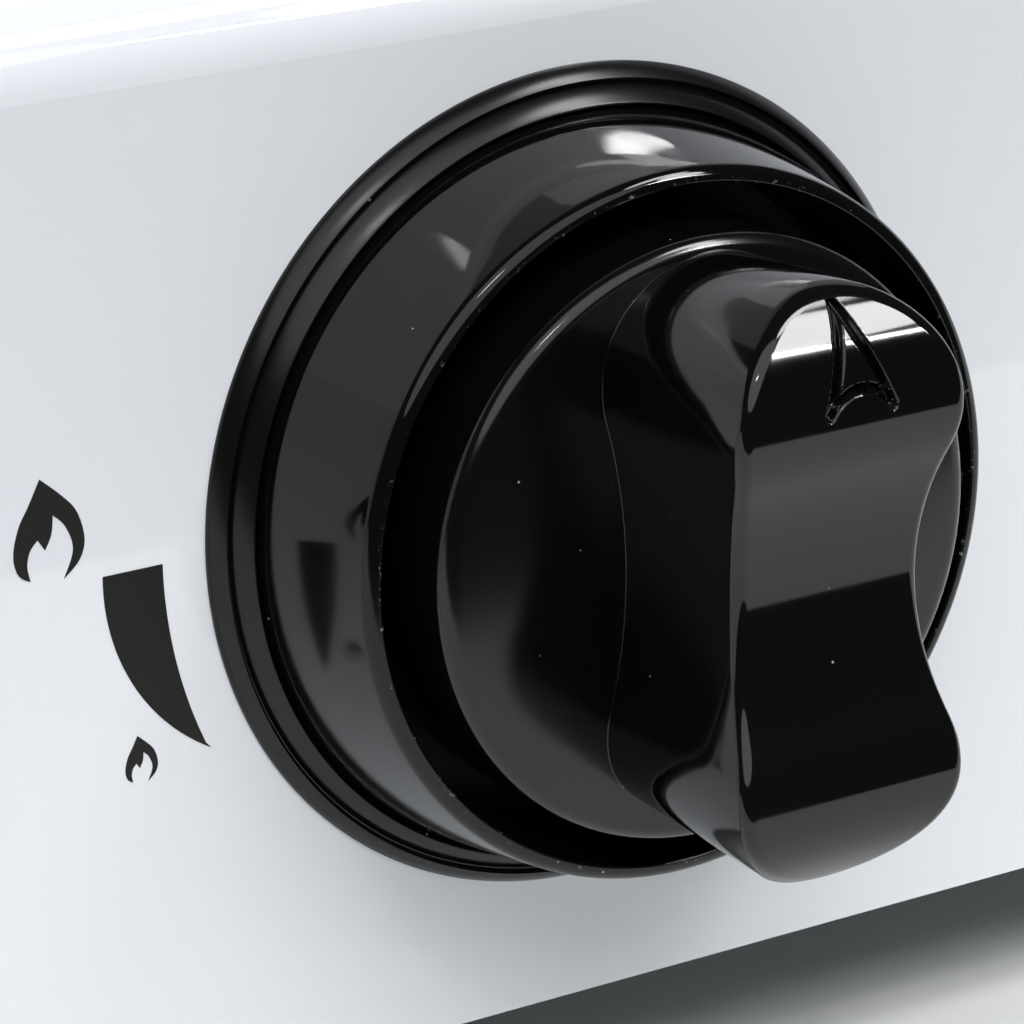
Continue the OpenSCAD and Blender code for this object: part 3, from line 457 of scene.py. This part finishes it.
def zinc_sheet():
    """Plated steel with a faint spangle and rolled grain."""
    s = Surface("zinc_sheet", Metallic=1.0)
    grain = s.noise(1.2, 4, 0.6, s.stretched((1, 0.06, 1)))
    flakes = s.cell_values(9)
    s.colour(s.mix(flakes[0], (0.42, 0.44, 0.46, 1), (0.52, 0.54, 0.56, 1)))
    uneven = s.math("ADD", grain, s.math("MULTIPLY", flakes[1], 0.3))
    s.roughness(s.span(uneven, 0.3, 1, 0.28, 0.44))
    s.bump(grain, 0.004)
    return s.material


def turned_metal(name, light, dark, rough, stain_mm=6.0):
    """Machined metal: fine turning lines, blotches of handling and age."""
    s = Surface(name, Metallic=1.0)
    lines = s.noise(0.35, 2, 0.5, s.stretched((0.25, 1, 1)))
    stain = s.noise(stain_mm, 5, 0.65)
    s.colour(s.mix(s.span(stain, 0.35, 0.7, 0, 1), light, dark))
    s.roughness(s.span(s.math("ADD", lines, stain), 0.6, 1.4, rough, rough + 0.18))
    s.bump(lines, 0.006)
    return s.material


def rubber():
    """Matt rubber with dust on it."""
    s = Surface("rubber", IOR=1.45)
    dust = s.span(s.noise(5, 6, 0.7), 0.55, 0.8, 0, 0.6)
    s.colour(s.mix(dust, (0.018, 0.018, 0.019, 1), (0.075, 0.073, 0.07, 1)))
    s.roughness(s.span(s.noise(1.2, 4), 0.3, 0.7, 0.62, 0.82))
    s.bump(s.noise(0.4, 4, 0.6), 0.03)
    return s.material


def cast_aluminium():
    """Rough casting with stains from heat."""
    s = Surface("cast_aluminium", Metallic=1.0)
    stain = s.span(s.noise(16, 6, 0.65), 0.42, 0.7, 0, 1)
    s.colour(s.mix(stain, (0.56, 0.56, 0.57, 1), (0.36, 0.35, 0.34, 1)))
    s.roughness(s.span(s.noise(2.0, 5, 0.6), 0.3, 0.7, 0.36, 0.56))
    s.bump(s.math("ADD", s.noise(0.7, 4, 0.6), s.math("MULTIPLY", s.noise(4), 1.5)), 0.035)
    return s.material


def black_enamel():
    """Satin enamel with fine flecks."""
    s = Surface("black_enamel", IOR=1.5)
    fleck = s.specks(1.6, 0.25, 0.08)
    tone = s.mix(s.noise(25, 5), grey(0.010), grey(0.019))
    s.colour(s.mix(fleck, tone, grey(0.06)))
    s.roughness(s.span(s.noise(6, 5, 0.6), 0.35, 0.7, 0.16, 0.30))
    s.bump(s.noise(1.6), 0.012)
    return s.material


def floor_finish():
    """Pale matt table top."""
    s = Surface("pale_floor", IOR=1.4)
    s.colour(s.mix(s.noise(40, 5), (0.77, 0.79, 0.78, 1), (0.81, 0.82, 0.81, 1)))
    s.roughness(s.span(s.noise(25, 4), 0.3, 0.7, 0.6, 0.68))
    s.bump(s.noise(0.9, 2), 0.004)
    return s.material


finish = {
    "white_enamel": white_enamel(),
    "zinc_sheet": zinc_sheet(),
    "screw_steel": turned_metal("screw_steel", (0.62, 0.63, 0.65, 1), (0.42, 0.43, 0.44, 1), 0.2),
    "spring_steel": turned_metal("spring_steel", (0.40, 0.40, 0.41, 1), (0.22, 0.21, 0.2, 1), 0.25),
    "rubber": rubber(),
    "black_plastic": black_plastic(),
    "brass": turned_metal("brass", (0.70, 0.50, 0.22, 1), (0.48, 0.32, 0.13, 1), 0.2),
    "pipe_aluminium": turned_metal(
        "pipe_aluminium", (0.74, 0.75, 0.77, 1), (0.56, 0.57, 0.58, 1), 0.26, stain_mm=12.0
    ),
    "cast_aluminium": cast_aluminium(),
    "black_enamel": black_enamel(),
}

# Every CAD node has the finish of its slot
for subpart in frame["record"]["subparts"]:
    mesh = nodes[subpart["node"]].data
    mesh.materials.clear()
    mesh.materials.append(finish[subpart["material_slot"]])


# Bezel
def crowned(start, end):
    """Slope of a bead from its outer side up to its top, slightly crowned."""
    run, rise = end[0] - start[0], end[1] - start[1]
    lift = BEAD_CROWN / hypot(run, rise)
    middle = ((start[0] + end[0]) / 2 + rise * lift, (start[1] + end[1]) / 2 - run * lift)
    return arc_through(start, middle, end, FINE_STEPS)


def bead_profile():
    """Outline of the two beads, radius and depth, from the flange's edge to the foot of the wall."""
    groove_r = BEZEL_R - OUTER_BEAD_W
    outer = crowned((BEZEL_R, BEAD_SIDE), (groove_r + GROOVE_W, OUTER_BEAD_H))
    inner = crowned((groove_r, GROOVE_D), (groove_r - INNER_BEAD_W, INNER_BEAD_H))
    back = (inner[-1][0] - BEAD_TOP_W, INNER_BEAD_H - BEAD_CROWN)
    past_back = (back[0] - BEAD_CROWN, back[1] - BEAD_CROWN)
    top = eased(inner[-2], inner[-1], back, past_back, ROUND_STEPS)
    return outer + [(groove_r + BEAD_CROWN, GROOVE_D)] + inner + top + [back]


def bezel_profile():
    """Closed outline of the bezel, radius and depth, from its hole round the beads, wall, rim and well."""
    rise = BEZEL_H - RIM_OUT_ROUND
    wall = []
    for i in range(WALL_STEPS):
        t = (WALL_FOOT_D + (rise - WALL_FOOT_D) * i / WALL_STEPS) / rise
        wall.append((WALL_FOOT_R + (RIM_R - WALL_FOOT_R) * t + 4 * WALL_BOW * t * (1 - t), rise * t))
    lean = degrees(atan2(WALL_FOOT_R - RIM_R + 4 * WALL_BOW, rise))
    well_r = RIM_R - RIM_W
    rim_out = arc((RIM_R - RIM_OUT_ROUND, rise), RIM_OUT_ROUND, lean, 90, FINE_STEPS)
    rim_in = arc((well_r + RIM_IN_ROUND, BEZEL_H - RIM_IN_ROUND), RIM_IN_ROUND, 90, 180, ROUND_STEPS)
    back = [(SPINDLE_HOLE_R, 0), (BEZEL_R, 0)]
    well = [(well_r - WELL_DRAFT, BEZEL_FLOOR), (SPINDLE_HOLE_R, BEZEL_FLOOR)]
    return back + bead_profile() + wall + rim_out + rim_in + well


def revolved(profile, segments):
    """Points and faces of a closed profile turned about the knob axis."""
    count = len(profile)
    points = []
    for j in range(segments):
        a = 2 * pi * j / segments
        points += [panel_point(r * sin(a), r * cos(a), d) for r, d in profile]
    faces = []
    for j in range(segments):
        here, there = j * count, (j + 1) % segments * count
        for i in range(count):
            k = (i + 1) % count
            faces.append((here + i, here + k, there + k, there + i))
    return points, faces


bezel_points, bezel_faces = revolved(bezel_profile(), BEZEL_SEGMENTS)
bezel = add_piece("knob_bezel_ring", bezel_points, bezel_faces, "hob", bezel_plastic(), sharp=30)
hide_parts("knob_bezel")


# Knob: arcs of the grip's outline and of its front meet on common tangents, as do the disc's dome and edge
END_C = GRIP_HALF - GRIP_END_R
WAIST_R = (END_C**2 + GRIP_WAIST**2 - GRIP_END_R**2) / (2 * (GRIP_END_R - GRIP_WAIST))
WAIST_A = degrees(atan(END_C / (GRIP_WAIST + WAIST_R)))
CREST_C = CREST_D - CREST_R
HOLLOW_R = (CREST_OUT**2 + (SADDLE_D - CREST_C) ** 2 - CREST_R**2) / (2 * (CREST_D - SADDLE_D))
HOLLOW_OUT = HOLLOW_R * CREST_OUT / (HOLLOW_R + CREST_R)
DOME_A = atan(DOME_POWER * DISC_DOME / (KNOB_R - DISC_EDGE_R))
DOME_R = KNOB_R - DISC_EDGE_R + DISC_EDGE_R * sin(DOME_A)
DISC_END = DOME_R + DISC_EDGE_R * (pi / 2 - DOME_A)


def spread(start, end, step):
    """Angles from start to just before end, about a step apart."""
    count = max(1, round((end - start) / step))
    return [start + (end - start) * i / count for i in range(count)]


def half_outline():
    """Places on the right half of the grip's outline, from its lower tip to its upper tip."""
    places = [("low", a) for a in spread(-90, WAIST_A, LOW_END_ANGLE)]
    places += [("waist", a) for a in spread(-WAIST_A, WAIST_A, WAIST_ANGLE)]
    places += [("high", a) for a in spread(-WAIST_A, POINTER_ANGLES_FROM, HIGH_END_ANGLE)]
    places += [("high", a) for a in spread(POINTER_ANGLES_FROM, 90, POINTER_ANGLE)]
    return places + [("high", 90)]


def outline_point(place, inset):
    """Point of the outline drawn in by an inset, with its outward direction."""
    kind, turn = place[0], radians(place[1])
    if kind == "waist":
        r = WAIST_R + inset
        return GRIP_WAIST + WAIST_R - r * cos(turn), r * sin(turn), cos(turn), -sin(turn)
    r = GRIP_END_R - inset
    centre = END_C if kind == "high" else -END_C
    return r * cos(turn), centre + r * sin(turn), cos(turn), sin(turn)


def saddle(v):
    """Depth of the grip's front at a distance from the knob axis."""
    if abs(v) < HOLLOW_OUT:
        return SADDLE_D + HOLLOW_R - sqrt(HOLLOW_R**2 - v * v)
    return CREST_C + sqrt(CREST_R**2 - (abs(v) - CREST_OUT) ** 2)


def drawn(v, foot=0):
    """Place along the grip with its lower end drawn in, and both ends drawn in further at the foot."""
    share = smooth_step(DRAW_FROM, GRIP_HALF, abs(v))
    return v - copysign(share * (foot + (LOW_DRAW if v < 0 else 0)), v)


def disc_point(along):
    """Radius and depth on the disc's domed top and rounded edge, at a distance along it from the axis."""
    if along < DOME_R:
        return along, DISC_D + DISC_DOME * (1 - (along / (KNOB_R - DISC_EDGE_R)) ** DOME_POWER)
    turn = DOME_A + (along - DOME_R) / DISC_EDGE_R
    return KNOB_R - DISC_EDGE_R * (1 - sin(turn)), DISC_D - DISC_EDGE_R * (1 - cos(turn))


def disc_along(radius):
    """Distance along the disc's top at a radius."""
    if radius < DOME_R:
        return radius
    return DOME_R + DISC_EDGE_R * (asin(min(1, 1 - (KNOB_R - radius) / DISC_EDGE_R)) - DOME_A)


def pointer_lines():
    """Engraved arrowhead with an arched foot: its strokes as pairs of ends on the grip's front."""
    apex = (0, GRIP_HALF - POINTER_INSET)
    foot = apex[1] - POINTER_LEN
    left, right = (POINTER_LEAN - POINTER_W / 2, foot), (POINTER_LEAN + POINTER_W / 2, foot)
    arch = arc_through(right, (POINTER_LEAN, foot + POINTER_NOTCH), left, ROUND_STEPS)
    return [(left, apex), (apex, right), *zip(arch, arch[1:])]


POINTER_STROKES = pointer_lines()


def engraving(u, v):
    """Depth of the arrowhead's groove at a place on the grip's front."""
    nearest = POINTER_W
    for a, b in POINTER_STROKES:
        du, dv = b[0] - a[0], b[1] - a[1]
        t = min(1, max(0, ((u - a[0]) * du + (v - a[1]) * dv) / (du * du + dv * dv)))
        nearest = min(nearest, hypot(u - a[0] - t * du, v - a[1] - t * dv))
    return POINTER_DEPTH * (1 - smooth_step(0, POINTER_LINE / 2, nearest))


def edge_rings(places):
    """Rings over the rounded edge of the grip, from its front to its flank."""
    rings = []
    for k in range(EDGE_STEPS, -1, -1):
        turn = radians(90 * k / EDGE_STEPS)
        ring = []
        for place in places:
            u, v, _, _ = outline_point(place, GRIP_EDGE_R * (1 - cos(turn)))
            ring.append((u, drawn(v), saddle(v) - GRIP_EDGE_R * (1 - sin(turn))))
        rings.append(ring)
    return rings


def flank_rings(top, foot):
    """Rings between the grip's edge and its foot."""
    rings = []
    for k in range(1, FLANK_STEPS):
        t = k / FLANK_STEPS
        rings.append([tuple(p + (q - p) * t for p, q in zip(a, b)) for a, b in zip(top, foot)])
    return rings


def foot_rings(places):
    """Rings of the grip's fine fillet on the disc, which fades out at the disc's edge."""
    rings = [[] for _ in range(FOOT_STEPS + 1)]
    for place in places:
        u, v, nu, nv = outline_point(place, 0)
        v = drawn(v, FOOT_DRAW)
        r = GRIP_FOOT_R * min(1, max(FOOT_LEAST, (DOME_R - hypot(u, v)) / FOOT_FADE))
        for k, ring in enumerate(rings):
            turn = radians(90 * k / FOOT_STEPS)
            out = r * (1 - cos(turn))
            pu, pv = u + nu * out, v + nv * out
            base = disc_point(disc_along(hypot(pu, pv)))[1]
            ring.append((pu, pv, base + r * (1 - sin(turn))))
    return rings


def disc_rings(foot):
    """Rings from the grip's foot over the disc, round the skirt and inside it to the end of the bore."""
    starts = [disc_along(hypot(p[0], p[1])) for p in foot]
    turns = [atan2(p[1], p[0]) for p in foot]
    rings = []
    for k in range(1, DISC_STEPS + 1):
        ring = []
        for start, turn in zip(starts, turns):
            r, d = disc_point(start + (DISC_END - start) * k / DISC_STEPS)
            ring.append((r * cos(turn), r * sin(turn), d))
        rings.append(ring)
    inside = arc((KNOB_R - SKIRT_ROUND, SKIRT_D + SKIRT_ROUND), SKIRT_ROUND, 0, -90, SKIRT_STEPS)
    inside += [(SKIRT_IN_R, SKIRT_D), (SKIRT_IN_R, ROOF_D), (HUB_R, ROOF_D), (HUB_R, HUB_D)]
    inside += [(BORE_R, HUB_D), (BORE_R, BORE_END_D)]
    for r, d in inside:
        rings.append([(r * cos(turn), r * sin(turn), d) for turn in turns])
    return rings


def knob_rings(places):
    """Right half of each ring from the grip's front edge to the knob's bore, as (u, v, d) points."""
    edge = edge_rings(places)
    feet = foot_rings(places)
    return edge + flank_rings(edge[-1], feet[0]) + feet + disc_rings(feet[-1])


def make_knob():
    """Points and faces of the knob: rings from front edge to bore, then rows across the grip's front."""
    places = half_outline()
    half = len(places)
    ring_n = 2 * half - 2
    points, faces = [], []

    def add(u, v, d):
        points.append(panel_point(u, v, d))
        return len(points) - 1

    ids = []
    for ring in knob_rings(places):
        mirrored = [(-u, v, d) for u, v, d in ring[-2:0:-1]]
        ids.append([add(*p) for p in ring + mirrored])
    for outer, inner in zip(ids[1:], ids):
        for i in range(ring_n):
            k = (i + 1) % ring_n
            faces.append((inner[i], outer[i], outer[k], inner[k]))
    pole = add(0, 0, BORE_END_D)
    last = ids[-1]
    for i in range(ring_n):
        faces.append((pole, last[(i + 1) % ring_n], last[i]))
    rows = [[ids[0][0]]]
    for i in range(1, half - 1):
        u, v, _, _ = outline_point(places[i], GRIP_EDGE_R)
        row = [ids[0][ring_n - i]]
        for c in range(1, FRONT_COLUMNS):
            across = u * (2 * c / FRONT_COLUMNS - 1)
            row.append(add(across, drawn(v), saddle(v) - engraving(across, v)))
        rows.append(row + [ids[0][i]])
    tip = ids[0][half - 1]
    for c in range(FRONT_COLUMNS):
        faces.append((rows[0][0], rows[1][c + 1], rows[1][c]))
        faces.append((rows[-1][c], rows[-1][c + 1], tip))
    for low, high in zip(rows[1:], rows[2:]):
        for c in range(FRONT_COLUMNS):
            faces.append((low[c], low[c + 1], high[c + 1], high[c]))
    return points, faces


knob_points, knob_faces = make_knob()
plastic = finish["black_plastic"]
knob = add_piece("control_knob_moulding", knob_points, knob_faces, "knob", plastic, sharp=42)
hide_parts("control_knob")


# Return spring of the tap, wound in the space of its CAD node, which shortens as the knob is pushed
def spring_coil(low, high):
    """Round wire on a helix between the plug and the spindle's collar."""
    rings = WIRE_RINGS * SPRING_TURNS
    wire = SPRING_WIRE / 2
    radius = (high.x - low.x) / MM / 2 - wire
    start = (AXIS.y - high.y) / MM + wire
    rise = (high.y - low.y) / MM - SPRING_WIRE
    points, faces = [], []
    for i in range(rings + 1):
        a = 2 * pi * SPRING_TURNS * i / rings
        for across, along in arc((radius, start + rise * i / rings), wire, 0, 360, WIRE_SIDES)[:-1]:
            points.append(panel_point(across * cos(a), across * sin(a), along))
    for i in range(rings):
        here, there = i * WIRE_SIDES, (i + 1) * WIRE_SIDES
        for j in range(WIRE_SIDES):
            k = (j + 1) % WIRE_SIDES
            faces.append((here + j, there + j, there + k, here + k))
    faces.append(tuple(range(WIRE_SIDES)))
    faces.append(tuple(range(rings * WIRE_SIDES, (rings + 1) * WIRE_SIDES))[::-1])
    return points, faces


spring_low, spring_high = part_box("tap_spring")
spring_points, spring_faces = spring_coil(spring_low, spring_high)
spring = add_piece("tap_spring_coil", spring_points, spring_faces, "plug", finish["spring_steel"])
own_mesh(spring)
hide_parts("tap_spring")


# Signs printed on the panel
def through(points):
    """Smooth curve through points, from the first to just before the last."""
    ends = [points[0], *points, points[-1]]
    curve = []
    for stretch in zip(ends, ends[1:], ends[2:], ends[3:]):
        for i in range(CURVE_STEPS):
            t = i / CURVE_STEPS
            weights = (
                t * (2 * t - t * t - 1) / 2,
                1 + t * t * (3 * t - 5) / 2,
                t * (1 + t * (4 - 3 * t)) / 2,
                t * t * (t - 1) / 2,
            )
            curve.append(weighted(weights, stretch))
    return curve


def flame_outline(place, scale):
    """Flame mark with its tip at a place: outer sides, two feet and the inner flame between them."""
    tip = (0, 0)
    right_foot, inner_peak = (1.47, -7.33), (0.85, -2.68)
    valley, low_peak, left_foot = (0.15, -5.06), (-0.38, -4.23), (-1.05, -7.07)
    sides = [
        [tip, (1.6, -1.45), (2.67, -2.78), (3.15, -4.77), (2.69, -6.22), right_foot],
        [right_foot, (2.25, -5.4), (1.76, -3.68), inner_peak],
        [inner_peak, (0.68, -4.0), valley],
        [valley, low_peak],
        [low_peak, (-0.99, -4.92), (-1.24, -5.95), left_foot],
        [left_foot, (-1.93, -6.44), (-2.24, -5.02), (-1.75, -3.14), (-0.91, -1.7), tip],
    ]
    return [(place[0] + scale * x, place[1] + scale * y) for side in sides for x, y in through(side)]


def wedge_outline():
    """Range wedge: wide at the large flame, drawn out to a tip at the small one."""
    top = (-sqrt(WEDGE_OUT_R**2 - WEDGE_TOP**2), WEDGE_TOP)
    outer = arc_through(top, WEDGE_MID, WEDGE_TIP, WEDGE_STEPS)
    tip_a = degrees(atan2(WEDGE_TIP[1], WEDGE_TIP[0])) + 360
    top_a = 180 - degrees(asin(WEDGE_TOP / WEDGE_IN_R))
    inner = arc((0, 0), WEDGE_IN_R, tip_a, top_a, WEDGE_STEPS)
    return outer + inner[1:]


def print_sign(name, outline, material):
    """Thin print on the front panel."""
    count = len(outline)
    points = [panel_point(x, z, d) for d in (0, INK_T) for x, z in outline]
    faces = [tuple(range(count))[::-1], tuple(range(count, 2 * count))]
    for i in range(count):
        k = (i + 1) % count
        faces.append((i, k, count + k, count + i))
    add_piece(name, points, faces, "hob", material)


ink = sign_ink()
print_sign("sign_large_flame", flame_outline(FLAME_PLACE, FLAME_SCALE), ink)
print_sign("sign_small_flame", flame_outline(SMALL_FLAME_PLACE, SMALL_FLAME_SCALE), ink)
print_sign("sign_range_wedge", wedge_outline(), ink)


# Stage, light and camera
def add_table():
    """Table top with a rounded front edge."""
    front = AXIS.y / MM - TABLE_FRONT
    nose = arc((front + TABLE_ROUND, -TABLE_ROUND), TABLE_ROUND, 180, 90, ROUND_STEPS)
    outline = [(TABLE_BACK, -TABLE_T), (front, -TABLE_T)] + nose + [(TABLE_BACK, 0)]
    count = len(outline)
    points = [(x * MM, y * MM, z * MM) for x in (-TABLE_HALF, TABLE_HALF) for y, z in outline]
    faces = [(i, (i + 1) % count, count + (i + 1) % count, count + i) for i in range(count)]
    piece = add_mesh("table", points, faces, floor_finish())


def add_softbox(name, towards, distance, size, power, turn=0, lights=True, mirrored=True):
    """Soft oval light aimed at the knob, with its angles to the right of the panel's front and up.

    One that lights nothing is only seen mirrored in gloss, and one that isn't mirrored only lights.
    """
    lamp = bpy.data.lights.new(name, "AREA")
    lamp.shape = "ELLIPSE"
    lamp.size, lamp.size_y = size
    lamp.energy = power
    light = bpy.data.objects.new(name, lamp)
    azimuth, elevation = (radians(angle) for angle in towards)
    away = Vector((sin(azimuth) * cos(elevation), -cos(azimuth) * cos(elevation), sin(elevation)))
    light.location = AXIS + away * distance
    aim = away.to_track_quat("Z", "Y") @ Quaternion((0, 0, 1), radians(turn))
    light.rotation_euler = aim.to_euler()
    light.visible_camera = False
    light.visible_diffuse = lights
    light.visible_glossy = mirrored
    scene.collection.objects.link(light)


def set_world():
    """Faint cool light from all round."""
    world = bpy.data.worlds.new("studio")
    world.use_nodes = True
    background = world.node_tree.nodes["Background"]
    background.inputs["Color"].default_value = WORLD_COLOUR
    background.inputs["Strength"].default_value = WORLD_STRENGTH
    scene.world = world


def add_camera():
    """Camera with a yaw to the right, a pitch down and a roll."""
    data = bpy.data.cameras.new("camera")
    data.sensor_width = CAMERA_SENSOR
    data.lens = CAMERA_LENS
    data.clip_start = CAMERA_NEAR
    data.clip_end = CAMERA_FAR
    camera = bpy.data.objects.new("camera", data)
    scene.collection.objects.link(camera)
    level = cos(CAMERA_PITCH)
    forward = Vector((sin(CAMERA_YAW) * level, cos(CAMERA_YAW) * level, -sin(CAMERA_PITCH)))
    level_right = forward.cross(Vector((0, 0, 1))).normalized()
    level_up = level_right.cross(forward)
    right = level_right * cos(CAMERA_ROLL) + level_up * sin(CAMERA_ROLL)
    up = level_up * cos(CAMERA_ROLL) - level_right * sin(CAMERA_ROLL)
    turned = Matrix((right, up, -forward)).transposed().to_4x4()
    camera.matrix_world = Matrix.Translation(panel_point(*CAMERA_PLACE)) @ turned
    scene.camera = camera


add_table()
add_softbox("window", (43.5, 40.5), 1.2, size=(0.50, 0.20), power=4.5, turn=59, lights=False)
add_softbox("strip", (36.35, 31), 1.2, size=(0.34, 0.026), power=2.7, turn=114.7, lights=False)
add_softbox("left_lamp", (-25, 48.5), 1.4, size=(0.28, 0.045), power=1.5)
add_softbox("fill", (-20, 46), 1.8, size=(3.0, 2.0), power=22.0, lights=False)
add_softbox("bounce", (-20, 54), 1.8, size=(3.0, 1.2), power=42.0, mirrored=False)
add_softbox("overhead", (52, 56), 1.7, size=(0.54, 0.38), power=7.2)
add_softbox("rear", (180, 18), 1.8, size=(2.2, 0.9), power=13.0)
add_softbox("rear_right", (145, 38), 1.8, size=(1.4, 1.1), power=1.9)
add_softbox("rear_top", (175, 48), 1.8, size=(1.8, 1.4), power=1.8)
set_world()
add_camera()
scene.view_settings.view_transform = "Standard"
